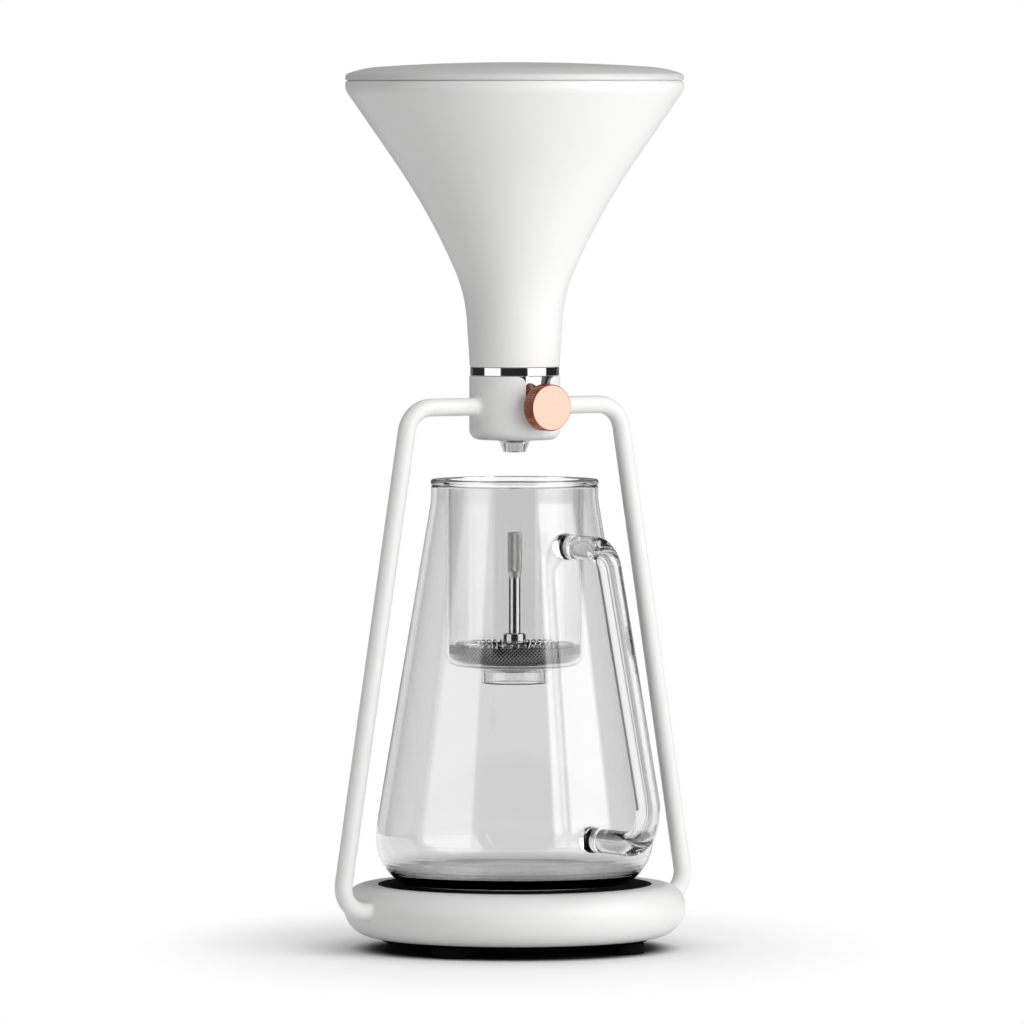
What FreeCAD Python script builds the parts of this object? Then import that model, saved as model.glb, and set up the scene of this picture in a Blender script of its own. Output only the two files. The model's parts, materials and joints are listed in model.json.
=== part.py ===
import FreeCAD, Part
import math
import os

V = FreeCAD.Vector
UP = V(0, 0, 1)
FRONT = V(0, -1, 0)
SIDE = V(1, 0, 0)
ORIGIN = V(0, 0, 0)

# Frame: +Z up, the origin on the table under the middle of the round base,
# the knob and the carafe handle towards -Y, the two arms on -X and +X.
# All sizes are in millimetres and degrees.

# Base ring, plate and underside
base_r = 85.75
base_top_bend = 11.0
base_low_bend = 15.0
base_wall = 2.4
base_bottom_lip = 2.15
plate_lip_depth = 4.2
plate_lip_wall = 1.6
plate_r = 68.4
plate_gap = 0.35
plate_proud = 0.5
plate_thick = 2.2
mat_inset = 1.9
mat_thick = 1.0
mat_sunk = 0.5
cover_bevel_height = 2.1
cover_bevel_run = 4.5
cover_thick = 2.2
cover_gap = 0.3
cover_spigot = 1.6
cover_spigot_wall = 1.8
foot_r = 10.25
foot_show = 4.4
foot_sunk = 0.8
foot_edge = 0.8
foot_inset = 23.25
foot_turn = 28.0
foot_count = 4
post_r = 3.7
post_height = 13.0
web_thick = 2.0
cover_screw_r = 1.5
cover_screw_head_r = 2.8
cover_screw_head = 1.0
cover_screw_length = 11.0

# Weighing parts inside the base
cell_length = 80.0
cell_side = 12.7
cell_hole_r = 4.4
cell_hole_pitch = 15.0
cell_foot_pad = 3.2
cell_pad_length = 20.0
cell_screw_pitch = 10.0
cell_screw_inset = 5.0
cell_screw_r = 2.0
cell_screw_head_r = 3.6
cell_screw_head = 1.1
cell_screw_grip = 7.0
board_length = 44.0
board_width = 26.0
board_thick = 1.6
board_centre_y = 38.0
board_post_r = 2.2
board_post_height = 3.0
board_post_inset = 3.5
chip_side = 9.0
chip_thick = 1.4
battery_r = 5.25
battery_length = 43.5
battery_nub_r = 1.9
battery_nub = 1.0
battery_count = 3
battery_pitch = 10.6
battery_centre_x = -9.0
tray_room = 0.5
contact_thick = 0.5
contact_height = 8.0
tray_wall = 1.5
tray_gap = 0.3
tray_height = 8.0
door_gap = 0.25
door_ledge = 1.2
door_lip = 2.0
door_screw_r = 1.1
door_screw_head_r = 2.0
door_screw_head = 0.8
door_screw_length = 5.5
door_tab = 6.0
door_tab_width = 8.0

# Arms of bent round bar
bar_r = 4.45
arm_top_z = 272.0
arm_top_corner_x = 61.7
arm_foot_corner_x = 102.9
arm_foot_z = 22.0
arm_top_bend = 14.0
arm_foot_bend = 12.5
arm_top_weld = 2.4
arm_foot_weld = 1.5
arm_bolt_r = 2.5
arm_bolt_head_r = 4.25
arm_bolt_head = 5.0
arm_bolt_key_r = 2.3
arm_bolt_key_depth = 2.5
arm_bolt_length = 16.0
arm_boss_r = 6.6
arm_boss_depth = 3.6

# Cup that carries the funnel
cup_r = 22.75
cup_wall = 2.75
cup_floor = 3.0
cup_height = 32.0
cup_foot_bend = 5.0
cup_lip = 0.5
cup_base_z = 255.2
notch_half = 7.1
notch_flare = 4.0

# Funnel
collar_r = 22.25
collar_height = 4.7
collar_edge = 0.4
funnel_wall = 2.6
funnel_foot_r = 22.5
neck_length = 23.1
neck_lean = 3.6
waist_bend = 75.0
waist_lean = 23.5
trumpet_bend = 320.0
cone_lean = 34.6
funnel_rim_r = 84.65
rim_height = 5.0
rim_bend = 6.2
rim_edge = 1.9
funnel_floor = 4.5
gasket_thick = 1.5
gasket_width = 5.0

# Lid
lid_rise = 8.9
lid_wall = 2.4
lid_crown_bend = 1000.0
lid_crown_r = 68.0
lid_edge_bend = 2.3
lid_lip_edge = 0.3
lid_shoulder_lean = 20.0
lid_skirt = 6.0
lid_skirt_wall = 2.0
lid_skirt_gap = 0.6

# Valve
body_r = 19.2
body_gap = 1.0
spigot_r = 7.9
spigot_gap = 0.2
spigot_over_nut = 1.2
bore_r = 2.5
nut_flats = 22.0
nut_height = 5.0
plug_r = 5.95
plug_clear = 0.05
plug_back = 9.0
plug_front = 11.8
plug_end_gap = 0.3
ring_groove_at = 5.6
ring_groove_depth = 1.0
ring_groove_width = 1.7
ring_wire_r = 0.5
stem_r = 3.0
stem_clear = 0.05
gland_r = 7.0
gland_length = 5.2
gland_key_r = 0.8
gland_key_at = 5.1
gland_key_depth = 2.0
nozzle_neck_r = 9.0
nozzle_hole_gap = 0.8
nozzle_skirt_r = 7.6
nozzle_skirt_drop = 1.3
nozzle_tip_r = 5.8
nozzle_drop = 6.3
nozzle_tip_edge = 0.7
nozzle_bore_r = 3.75
nozzle_bore_depth = 4.0
nozzle_thread_r = 5.0
nozzle_thread_length = 6.0

# Knob
knob_r = 11.65
knob_thick = 8.45
knob_stand_off = 3.2
knob_edge = 0.1
knob_teeth = 72
knurl_depth = 0.45
knob_socket_depth = 6.0
grub_r = 1.5
grub_length = 5.0
grub_key_r = 0.8
grub_key_depth = 1.6

# Carafe
carafe_max_r = 69.5
carafe_max_rise = 21.9
carafe_upper_bend = 66.0
carafe_lower_bend = 24.6
carafe_heel_bend = 8.0
carafe_lean = 9.55
carafe_neck_r = 41.8
carafe_height = 199.5
carafe_neck_bend = 20.0
carafe_wall = 2.4
carafe_floor = 6.0
carafe_punt = 1.2
handle_r = 6.0
handle_top_rise = 170.4
handle_foot_rise = 26.0
handle_top_reach = 84.1
handle_foot_reach = 127.9
handle_top_bend = 14.0
handle_foot_bend = 17.0
handle_weld = 1.2
handle_weld_out = 2.5

# Drip chamber
chamber_r = 34.85
chamber_wall = 1.85
chamber_flange_r = 42.0
chamber_flange = 2.9
chamber_flange_edge = 1.2
chamber_depth = 89.0
chamber_outlet_r = 16.8
chamber_outlet_drop = 8.6
chamber_floor_run = 5.0
chamber_floor_drop = 2.6

# Filter
filter_gap = 0.4
mesh_thick = 0.4
mesh_height = 8.5
mesh_corner = 4.6
coil_r = 5.0
coil_wire_r = 0.4
coil_turns = 50
coil_end_gap = 7.0
spring_plate_thick = 0.6
spring_plate_rim = 2.9
spring_plate_centre_r = 9.0
spring_plate_cone_r = 17.0
spring_plate_drain_r = 1.9
spring_plate_drain_at = 13.0
spring_plate_drains = 8
coil_hole_r = 0.75
support_r = 19.0
support_thick = 0.8
support_hole_r = 4.2
support_hole_at = 12.4
support_holes = 8
hub_r = 5.8
hub_height = 13.9
hub_edge = 0.6
filter_rod_r = 3.0
filter_stud_r = 2.0
filter_rod_top = 50.5
grip_r = 3.35
grip_length = 20.0
grip_neck = 3.0
grip_edge = 0.6
filter_nut_flats = 8.0
filter_nut_height = 3.2
stud_over_nut = 0.8

# Heights that follow from the sizes above
cover_z = foot_show
base_z = cover_z + cover_bevel_height
base_mid_z = base_z + base_low_bend
base_top_z = base_mid_z + base_top_bend
plate_hole_r = plate_r + plate_gap
plate_top_z = base_top_z + plate_proud - (mat_thick - mat_sunk)
mat_top_z = plate_top_z - mat_sunk + mat_thick
mat_r = plate_r - mat_inset
cover_top_z = cover_z + cover_thick
foot_circle_r = base_r - foot_inset
cup_top_z = cup_base_z + cup_height
cup_in_r = cup_r - cup_wall
body_z = cup_base_z + cup_floor + body_gap
collar_z = cup_top_z
funnel_z = collar_z + collar_height
floor_top_z = funnel_z + funnel_floor
knob_back_y = cup_r + knob_stand_off
carafe_z = mat_top_z
carafe_rim_z = carafe_z + carafe_height
chamber_in_r = chamber_r - chamber_wall
chamber_top_z = carafe_rim_z + chamber_flange
chamber_floor_z = carafe_rim_z - chamber_depth
filter_r = chamber_in_r - filter_gap
mesh_in_r = filter_r - mesh_thick
mesh_floor_z = chamber_floor_z + mesh_thick
coil_ring_r = mesh_in_r - coil_r
coil_mid_z = mesh_floor_z + coil_r
hub_z = mesh_floor_z + spring_plate_thick
hub_top_z = hub_z + hub_height
support_z = chamber_floor_z - support_thick


def rad(degrees):
    return math.radians(degrees)


def around(radius, degrees, z=0.0):
    """A point at a radius, turned from the front (-Y) towards +X."""
    return V(radius * math.sin(rad(degrees)), -radius * math.cos(rad(degrees)), z)


def disc(radius, z_low, z_high, at=ORIGIN):
    return Part.makeCylinder(radius, z_high - z_low, V(at.x, at.y, z_low), UP)


def rod(radius, start, end):
    """A round bar from one point to another."""
    along = end - start
    return Part.makeCylinder(radius, along.Length, start, along)


def block(x_low, x_high, y_low, y_high, z_low, z_high):
    return Part.makeBox(x_high - x_low, y_high - y_low, z_high - z_low, V(x_low, y_low, z_low))


def tube(outer, inner, z_low, z_high):
    return disc(outer, z_low, z_high).cut(disc(inner, z_low, z_high))


def hexagon(flats, z_low, z_high):
    corner = flats / 2 / math.cos(rad(30))
    points = [around(corner, 60 * side, z_low) for side in range(7)]
    return Part.Face(Part.makePolygon(points)).extrude(V(0, 0, z_high - z_low))


class Outline:
    """Half a cross-section in the (r, z) plane, walked from point to point."""

    def __init__(self, r, z):
        self.first = (r, z)
        self.at = (r, z)
        self.edges = []

    def line(self, r, z):
        if math.hypot(r - self.at[0], z - self.at[1]) > 1e-6:
            self.edges.append(Part.makeLine(V(self.at[0], 0, self.at[1]), V(r, 0, z)))
            self.at = (r, z)
        return self

    def arc(self, centre_r, centre_z, degrees):
        """An arc about a centre, anticlockwise with r to the right."""
        dr = self.at[0] - centre_r
        dz = self.at[1] - centre_z

        def turned(angle):
            c = math.cos(rad(angle))
            s = math.sin(rad(angle))
            return (centre_r + dr * c - dz * s, centre_z + dr * s + dz * c)

        middle = turned(degrees / 2)
        end = turned(degrees)
        points = [V(p[0], 0, p[1]) for p in (self.at, middle, end)]
        self.edges.append(Part.Arc(*points).toShape())
        self.at = end
        return self

    def lean(self, radius, from_lean, to_lean, wall_side):
        """A bend met on the way up a wall that leans out by degrees from
        upright. wall_side is 1 where the wall flares out as it rises, and -1
        where it closes in."""
        centre_r = self.at[0] + wall_side * radius * math.cos(rad(from_lean))
        centre_z = self.at[1] - wall_side * radius * math.sin(rad(from_lean))
        return self.arc(centre_r, centre_z, from_lean - to_lean)

    def close(self):
        return self.line(*self.first)

    def revolve(self):
        self.close()
        face = Part.Face(Part.Wire(self.edges))
        return face.revolve(ORIGIN, UP, 360)


def rounded_path(corners, radii):
    """Straight runs joined by tangent arcs, one radius for each inner corner."""
    edges = []
    start = corners[0]
    for before, corner, after, radius in zip(corners, corners[1:], corners[2:], radii):
        back = (before - corner).normalize()
        ahead = (after - corner).normalize()
        half = back.getAngle(ahead) / 2
        reach = radius / math.tan(half)
        first = corner + back * reach
        last = corner + ahead * reach
        to_centre = (back + ahead).normalize()
        middle = corner + to_centre * (radius / math.sin(half) - radius)
        edges.append(Part.makeLine(start, first))
        edges.append(Part.Arc(first, middle, last).toShape())
        start = last
    edges.append(Part.makeLine(start, corners[-1]))
    return Part.Wire(edges)


def swept_bar(path, radius):
    start = path.Edges[0]
    direction = start.tangentAt(start.FirstParameter)
    circle = Part.Wire(Part.makeCircle(radius, start.valueAt(start.FirstParameter), direction))
    return path.makePipeShell([circle], True, False)


def foot_places():
    return [foot_turn + 360.0 / foot_count * n for n in range(foot_count)]


# Base

def base_outside():
    """The ring's outer form, filled to the axis."""
    outline = Outline(0, base_z)
    outline.line(base_r - base_low_bend, base_z)
    outline.arc(base_r - base_low_bend, base_mid_z, 90)
    outline.arc(base_r - base_top_bend, base_mid_z, 90)
    outline.line(0, base_top_z)
    return outline.revolve()


def base_shell():
    low_r = base_r - base_low_bend
    top_r = base_r - base_top_bend
    lip_r = low_r - base_bottom_lip
    outline = Outline(lip_r, base_z)
    outline.line(low_r, base_z)
    outline.arc(low_r, base_mid_z, 90)
    outline.arc(top_r, base_mid_z, 90)
    outline.line(plate_hole_r, base_top_z)
    outline.line(plate_hole_r, base_top_z - plate_lip_depth)
    outline.line(plate_hole_r + plate_lip_wall, base_top_z - plate_lip_depth)
    outline.line(plate_hole_r + plate_lip_wall, base_top_z - base_wall)
    outline.line(top_r, base_top_z - base_wall)
    outline.arc(top_r, base_mid_z, -90)
    outline.arc(low_r, base_mid_z, -90)
    outline.line(lip_r, base_z + base_wall)
    shell = outline.revolve()
    outside = base_outside()
    for turn in foot_places():
        post = disc(post_r, cover_top_z, cover_top_z + post_height, around(foot_circle_r, turn))
        web = block(-web_thick / 2, web_thick / 2, -base_r, -foot_circle_r,
                    base_z + base_wall, cover_top_z + post_height)
        web.rotate(ORIGIN, UP, turn)
        shell = shell.fuse([post, web.common(outside)])
        shell = shell.cut(disc(cover_screw_r, cover_top_z, cover_top_z + cover_screw_length,
                               around(foot_circle_r, turn)))
    for side in (-1, 1):
        seat = V(side * (base_r - base_wall - arm_boss_depth), 0, arm_foot_z)
        wall = V(side * base_r, 0, arm_foot_z)
        shell = shell.fuse(rod(arm_boss_r, seat, wall).common(outside))
        shell = shell.cut(rod(arm_bolt_r, seat, wall))
    return shell.removeSplitter()


def weighing_plate():
    under_z = plate_top_z - plate_thick
    outline = Outline(0, under_z)
    outline.line(plate_r, under_z)
    outline.line(plate_r, plate_top_z)
    outline.line(mat_r, plate_top_z)
    outline.line(mat_r, plate_top_z - mat_sunk)
    outline.line(0, plate_top_z - mat_sunk)
    plate = outline.revolve()
    pad_x = cell_length / 2 - cell_pad_length
    pad = block(pad_x, cell_length / 2, -cell_side / 2, cell_side / 2, cell_top_z(), under_z)
    plate = plate.fuse(pad)
    for place in plate_screw_places():
        sunk_z = plate_top_z - mat_sunk - cell_screw_head
        plate = plate.cut(disc(cell_screw_head_r, sunk_z, plate_top_z, place))
        plate = plate.cut(disc(cell_screw_r, cell_top_z(), sunk_z, place))
    return plate.removeSplitter()


def plate_mat():
    edge = mat_thick - mat_sunk
    outline = Outline(0, plate_top_z - mat_sunk)
    outline.line(mat_r, plate_top_z - mat_sunk)
    outline.line(mat_r, mat_top_z - edge)
    outline.arc(mat_r - edge, mat_top_z - edge, 90)
    outline.line(0, mat_top_z)
    return outline.revolve()


def cell_low_z():
    return cover_top_z + cell_foot_pad


def cell_top_z():
    return cell_low_z() + cell_side


def plate_screw_places():
    first = cell_length / 2 - cell_screw_inset
    return [V(first, 0, 0), V(first - cell_screw_pitch, 0, 0)]


def cover_cell_screw_places():
    return [V(-place.x, 0, 0) for place in plate_screw_places()]


def load_cell():
    """Bar with two joined holes through its middle, the thin walls of which
    bend under the load."""
    half = cell_side / 2
    bar = block(-cell_length / 2, cell_length / 2, -half, half, cell_low_z(), cell_top_z())
    mid_z = (cell_low_z() + cell_top_z()) / 2
    for side in (-1, 1):
        x = side * cell_hole_pitch / 2
        bar = bar.cut(rod(cell_hole_r, V(x, -half, mid_z), V(x, half, mid_z)))
    slot = block(-cell_hole_pitch / 2, cell_hole_pitch / 2, -half, half,
                 mid_z - cell_hole_r / 2, mid_z + cell_hole_r / 2)
    bar = bar.cut(slot)
    for place in plate_screw_places():
        bar = bar.cut(disc(cell_screw_r, cell_top_z() - cell_screw_grip, cell_top_z(), place))
    for place in cover_cell_screw_places():
        bar = bar.cut(disc(cell_screw_r, cell_low_z(), cell_low_z() + cell_screw_grip, place))
    return bar


def load_cell_screws():
    screws = []
    head_z = plate_top_z - mat_sunk
    for place in plate_screw_places():
        head = disc(cell_screw_head_r, head_z - cell_screw_head, head_z, place)
        shank = disc(cell_screw_r, cell_top_z() - cell_screw_grip, head_z - cell_screw_head, place)
        screws.append(head.fuse(shank).removeSplitter())
    for place in cover_cell_screw_places():
        head = disc(cell_screw_head_r, cover_z, cover_z + cell_screw_head, place)
        shank = disc(cell_screw_r, cover_z + cell_screw_head, cell_low_z() + cell_screw_grip, place)
        screws.append(head.fuse(shank).removeSplitter())
    return Part.makeCompound(screws)


def tray_half_x():
    return (battery_length + battery_nub) / 2 + contact_thick


def tray_half_y():
    return (battery_count - 1) * battery_pitch / 2 + battery_r + tray_gap


def tray_centre():
    """The tray lies in front of the load cell, one tray wall clear of it."""
    behind = cell_side / 2 + tray_room + tray_wall
    return V(battery_centre_x, -behind - tray_half_y(), 0)


def about(centre, half_x, half_y, z_low, z_high):
    """An upright block about a centre, given by its half sizes."""
    return block(centre.x - half_x, centre.x + half_x,
                 centre.y - half_y, centre.y + half_y, z_low, z_high)


def door_half_x():
    return tray_half_x() + door_ledge


def door_half_y():
    return tray_half_y() + door_ledge


def door_box(grow, z_low, z_high):
    """The door's plan with its tab, grown by a gap."""
    centre = tray_centre()
    plan = about(centre, door_half_x() + grow, door_half_y() + grow, z_low, z_high)
    tab = about(door_screw_place(), door_tab_width / 2 + grow, door_tab / 2 + grow,
                z_low, z_high)
    return plan.fuse(tab).removeSplitter()


def door_screw_place():
    return tray_centre() - V(0, door_half_y() + door_tab / 2, 0)


def bottom_cover():
    edge_r = base_r - base_low_bend
    spigot_out = edge_r - base_bottom_lip - cover_gap
    outline = Outline(0, cover_z)
    outline.line(edge_r - cover_bevel_run, cover_z)
    outline.line(edge_r, base_z)
    outline.line(spigot_out, base_z)
    outline.line(spigot_out, base_z + cover_spigot)
    outline.line(spigot_out - cover_spigot_wall, base_z + cover_spigot)
    outline.line(spigot_out - cover_spigot_wall, cover_top_z)
    outline.line(0, cover_top_z)
    cover = outline.revolve()
    tray_top = cover_top_z + tray_height
    walls = about(tray_centre(), tray_half_x() + tray_wall, tray_half_y() + tray_wall,
                  cover_top_z, tray_top)
    pad = block(-cell_length / 2, -cell_length / 2 + cell_pad_length,
                -cell_side / 2, cell_side / 2, cover_top_z, cell_low_z())
    tab_boss = about(door_screw_place(), door_tab_width / 2 + tray_wall,
                     door_tab / 2 + tray_wall, cover_top_z, tray_top)
    cover = cover.fuse([walls, pad, tab_boss])
    for place in board_post_places():
        cover = cover.fuse(disc(board_post_r, cover_top_z, cover_top_z + board_post_height, place))
    inside = about(tray_centre(), tray_half_x(), tray_half_y(), cover_z, tray_top)
    cover = cover.cut([inside, door_box(door_gap, cover_z, cover_z + door_lip)])
    screw_top = cover_z + door_screw_length
    cover = cover.cut(disc(door_screw_r, cover_z, screw_top, door_screw_place()))
    for place in cover_cell_screw_places():
        cover = cover.cut(disc(cell_screw_r, cover_z, cell_low_z(), place))
        cover = cover.cut(disc(cell_screw_head_r, cover_z, cover_z + cell_screw_head, place))
    for turn in foot_places():
        place = around(foot_circle_r, turn)
        cover = cover.cut(disc(foot_r, cover_z, cover_z + foot_sunk, place))
        cover = cover.cut(disc(cover_screw_r, cover_z, cover_top_z, place))
    return cover.removeSplitter()


def cover_screws():
    """Pan heads lie under the feet, in the feet's own hollows."""
    screws = []
    seat_z = cover_z + foot_sunk
    for turn in foot_places():
        place = around(foot_circle_r, turn)
        head = disc(cover_screw_head_r, seat_z - cover_screw_head, seat_z, place)
        shank = disc(cover_screw_r, seat_z, cover_top_z + cover_screw_length, place)
        screws.append(head.fuse(shank).removeSplitter())
    return Part.makeCompound(screws)


def feet():
    solids = []
    seat_z = cover_z + foot_sunk
    for turn in foot_places():
        outline = Outline(0, 0)
        outline.line(foot_r - foot_edge, 0)
        outline.arc(foot_r - foot_edge, foot_edge, 90)
        outline.line(foot_r, seat_z)
        outline.line(cover_screw_head_r, seat_z)
        outline.line(cover_screw_head_r, seat_z - cover_screw_head)
        outline.line(0, seat_z - cover_screw_head)
        foot = outline.revolve()
        foot.translate(around(foot_circle_r, turn))
        solids.append(foot)
    return Part.makeCompound(solids)


def board_post_places():
    x = board_length / 2 - board_post_inset
    y = board_width / 2 - board_post_inset
    return [V(sx * x, board_centre_y + sy * y, 0) for sx in (-1, 1) for sy in (-1, 1)]


def circuit_board():
    z = cover_top_z + board_post_height
    half_x = board_length / 2
    half_y = board_width / 2
    board = block(-half_x, half_x, board_centre_y - half_y, board_centre_y + half_y,
                  z, z + board_thick)
    top = z + board_thick
    chips = []
    for x in (-board_length / 5, board_length / 5):
        chips.append(block(x - chip_side / 2, x + chip_side / 2, board_centre_y - chip_side / 2,
                           board_centre_y + chip_side / 2, top, top + chip_thick))
    return board.fuse(chips).removeSplitter()


def battery_places():
    middle = (battery_count - 1) / 2
    return [tray_centre() + V(0, (n - middle) * battery_pitch, 0) for n in range(battery_count)]


def battery_cells():
    cells = []
    z = door_top_z() + battery_r
    for number, place in enumerate(battery_places()):
        way = SIDE if number % 2 == 0 else -SIDE
        back = place + UP * z - way * ((battery_length + battery_nub) / 2)
        shoulder = back + way * battery_length
        tip = shoulder + way * battery_nub
        cell = rod(battery_r, back, shoulder).fuse(rod(battery_nub_r, shoulder, tip))
        cells.append(cell.removeSplitter())
    return Part.makeCompound(cells)


def battery_contacts():
    plates = []
    half = contact_thick / 2
    z = door_top_z() + battery_r
    for side in (-1, 1):
        middle = tray_centre() + SIDE * (side * (tray_half_x() - half))
        plates.append(about(middle, half, tray_half_y() - tray_gap,
                            z - contact_height / 2, z + contact_height / 2))
    return Part.makeCompound(plates)


def door_top_z():
    return cover_z + door_lip


def battery_door():
    door = door_box(0, cover_z, door_top_z())
    place = door_screw_place()
    door = door.cut(disc(door_screw_r, cover_z, door_top_z(), place))
    door = door.cut(disc(door_screw_head_r, cover_z, cover_z + door_screw_head, place))
    return door.removeSplitter()


def door_screw():
    place = door_screw_place()
    head = disc(door_screw_head_r, cover_z, cover_z + door_screw_head, place)
    shank = disc(door_screw_r, cover_z + door_screw_head, cover_z + door_screw_length, place)
    return head.fuse(shank).removeSplitter()


# Arms and cup

def welded(bar, body, radius):
    """The bar outside a round body, with a fillet all round where the two meet.
    The body is turned a quarter so that its own seam line is clear of the bar."""
    body.rotate(ORIGIN, UP, 90)
    joined = body.fuse(bar)
    corner = []
    for edge in joined.Edges:
        low, high = edge.ParameterRange
        places = [Part.Vertex(edge.valueAt(low + (high - low) * n / 4)) for n in range(5)]
        away = [place.distToShape(skin)[0] for place in places
                for skin in (body.Shells[0], bar.Shells[0])]
        if max(away) < 1e-3:
            corner.append(edge)
    return joined.makeFillet(radius, corner).cut(body)


def arm(side):
    """A bent bar from the cup's side to the ring's side, with a fillet at each
    end and a tapped hole in its foot."""
    corners = [V(side * cup_in_r, 0, arm_top_z), V(side * arm_top_corner_x, 0, arm_top_z),
               V(side * arm_foot_corner_x, 0, arm_foot_z),
               V(side * (base_r - base_wall), 0, arm_foot_z)]
    bar = swept_bar(rounded_path(corners, (arm_top_bend, arm_foot_bend)), bar_r)
    bar = welded(bar, disc(cup_r, cup_base_z, cup_top_z), arm_top_weld)
    bar = welded(bar, base_outside(), arm_foot_weld)
    hole_end = V(side * (arm_bolt_seat_x() + arm_bolt_length), 0, arm_foot_z)
    bar = bar.cut(rod(arm_bolt_r, V(side * arm_bolt_seat_x(), 0, arm_foot_z), hole_end))
    return bar.removeSplitter()


def arm_bolt_seat_x():
    return base_r - base_wall - arm_boss_depth


def arm_bolts():
    bolts = []
    for side in (-1, 1):
        seat = V(side * arm_bolt_seat_x(), 0, arm_foot_z)
        head_end = seat - V(side * arm_bolt_head, 0, 0)
        tip = seat + V(side * arm_bolt_length, 0, 0)
        bolt = rod(arm_bolt_head_r, head_end, seat).fuse(rod(arm_bolt_r, seat, tip))
        key_end = head_end + V(side * arm_bolt_key_depth, 0, 0)
        bolts.append(bolt.cut(rod(arm_bolt_key_r, head_end, key_end)).removeSplitter())
    return Part.makeCompound(bolts)


def stem_notch():
    """Slot with a round foot and a flared mouth, through the front wall."""
    y = -cup_in_r / 2
    half = notch_half
    flare = notch_flare
    top = cup_top_z
    reach = half + flare
    bend = flare * (1 - math.sqrt(0.5))

    def at(x, z):
        return V(x, y, z)

    edges = [
        Part.makeLine(at(-reach, top), at(reach, top)),
        Part.Arc(at(reach, top), at(half + bend, top - bend), at(half, top - flare)).toShape(),
        Part.makeLine(at(half, top - flare), at(half, arm_top_z)),
        Part.Arc(at(half, arm_top_z), at(0, arm_top_z - half), at(-half, arm_top_z)).toShape(),
        Part.makeLine(at(-half, arm_top_z), at(-half, top - flare)),
        Part.Arc(at(-half, top - flare), at(-half - bend, top - bend), at(-reach, top)).toShape(),
    ]
    return Part.Face(Part.Wire(edges)).extrude(FRONT * cup_r)


def valve_cup():
    hole_r = nozzle_neck_r + nozzle_hole_gap
    outline = Outline(hole_r, cup_base_z)
    outline.line(cup_r - cup_foot_bend, cup_base_z)
    outline.arc(cup_r - cup_foot_bend, cup_base_z + cup_foot_bend, 90)
    outline.line(cup_r, cup_top_z - cup_lip)
    outline.arc(cup_r - cup_lip, cup_top_z - cup_lip, 90)
    outline.line(cup_in_r, cup_top_z)
    outline.line(cup_in_r, cup_base_z + cup_floor)
    outline.line(hole_r, cup_base_z + cup_floor)
    return outline.revolve().cut(stem_notch()).removeSplitter()


# Funnel and lid

def funnel_wall_line(outline, inset):
    """The trumpet from the neck up to the cone, bends and all."""
    outline.line(outline.at[0] + neck_length * math.tan(rad(neck_lean)), funnel_z + neck_length)
    outline.lean(waist_bend + inset, neck_lean, waist_lean, 1)
    outline.lean(trumpet_bend + inset, waist_lean, cone_lean, 1)
    return outline


def funnel_rim_z():
    """Top of the rim: where the cone reaches the rim's radius, plus the rim."""
    outline = funnel_wall_line(Outline(funnel_foot_r, funnel_z), 0)
    r, z = outline.at
    return z + (funnel_rim_r - r) / math.tan(rad(cone_lean)) + rim_height


def funnel_cone_top_z():
    """Height at which the inner cone meets the upright inside of the rim."""
    outline = funnel_wall_line(Outline(funnel_foot_r - funnel_wall, funnel_z), funnel_wall)
    r, z = outline.at
    return z + (funnel_rim_r - funnel_wall - r) / math.tan(rad(cone_lean))


def funnel():
    rim_z = funnel_rim_z()
    rim_in_r = funnel_rim_r - funnel_wall
    outer = funnel_wall_line(Outline(funnel_foot_r, funnel_z), 0)
    bend_run = rim_bend * math.tan(rad(cone_lean / 2))
    outer.line(funnel_rim_r - bend_run * math.sin(rad(cone_lean)),
               rim_z - rim_height - bend_run * math.cos(rad(cone_lean)))
    outer.lean(rim_bend, cone_lean, 0, -1)
    outer.line(funnel_rim_r, rim_z - rim_edge)
    outer.arc(funnel_rim_r - rim_edge, rim_z - rim_edge, 90)
    outer.line(0, rim_z)
    outer.line(0, funnel_z)
    inner = funnel_wall_line(Outline(funnel_foot_r - funnel_wall, funnel_z), funnel_wall)
    inner.line(rim_in_r, funnel_cone_top_z())
    inner.line(rim_in_r, rim_z)
    inner.line(0, rim_z)
    inner.line(0, funnel_z)
    hollow = inner.revolve().common(disc(funnel_rim_r, floor_top_z, rim_z))
    shell = outer.revolve().cut(hollow)
    shell = shell.cut(disc(spigot_r + spigot_gap, funnel_z, floor_top_z))
    recess = disc(spigot_r + spigot_gap + gasket_width, funnel_z, funnel_z + gasket_thick)
    return shell.cut(recess).removeSplitter()


def funnel_gasket():
    inner = spigot_r + spigot_gap
    return tube(inner + gasket_width, inner, funnel_z, funnel_z + gasket_thick)


def funnel_nut():
    nut = hexagon(nut_flats, floor_top_z, floor_top_z + nut_height)
    return nut.cut(disc(spigot_r, floor_top_z, floor_top_z + nut_height))


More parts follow.
